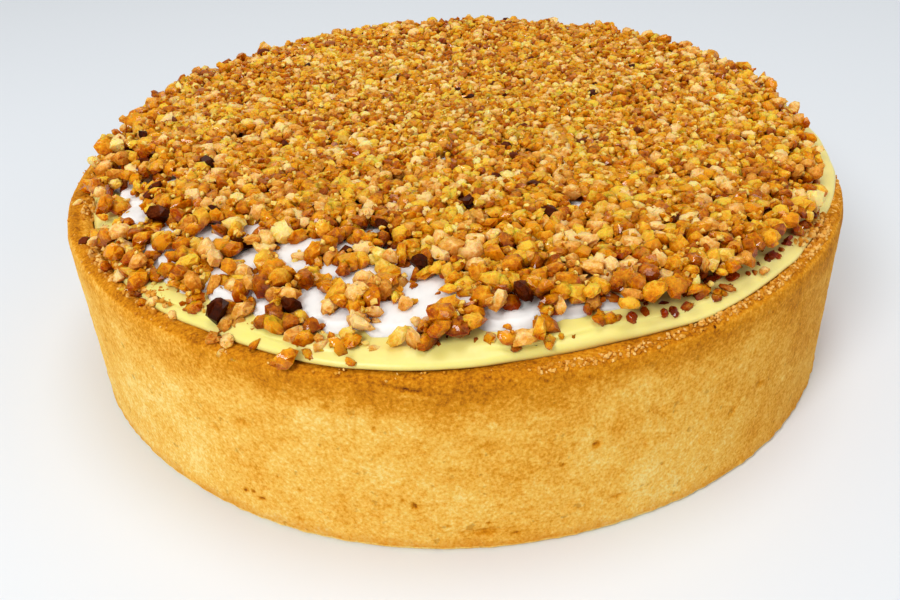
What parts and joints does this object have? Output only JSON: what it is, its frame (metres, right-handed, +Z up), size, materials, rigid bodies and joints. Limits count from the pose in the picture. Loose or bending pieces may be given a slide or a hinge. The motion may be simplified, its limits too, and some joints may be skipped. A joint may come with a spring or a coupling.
{
  "type": "flan cake",
  "caption": "Whole round flan cake: a deep straight-sided shortcrust shell filled with set custard, spread with cream and covered in chopped caramelised nuts.",
  "frame": {"origin": "middle of the flat underside", "axes": "+Z up, -Y towards the side seen in front, +X to its right"},
  "size_m": [0.242, 0.2435, 0.0645],
  "materials": {
    "shortcrust": "baked golden shortcrust, sandy and matte",
    "custard": "smooth set custard, pale yellow and slightly glossy",
    "caramelised_nuts": "amber chopped caramelised nuts with a soft shine, on white cream"
  },
  "bodies": {
    "root": {"pastry_shell": "shortcrust", "custard_filling": "custard", "cream_and_nuts": "caramelised_nuts"}
  },
  "joints": []
}
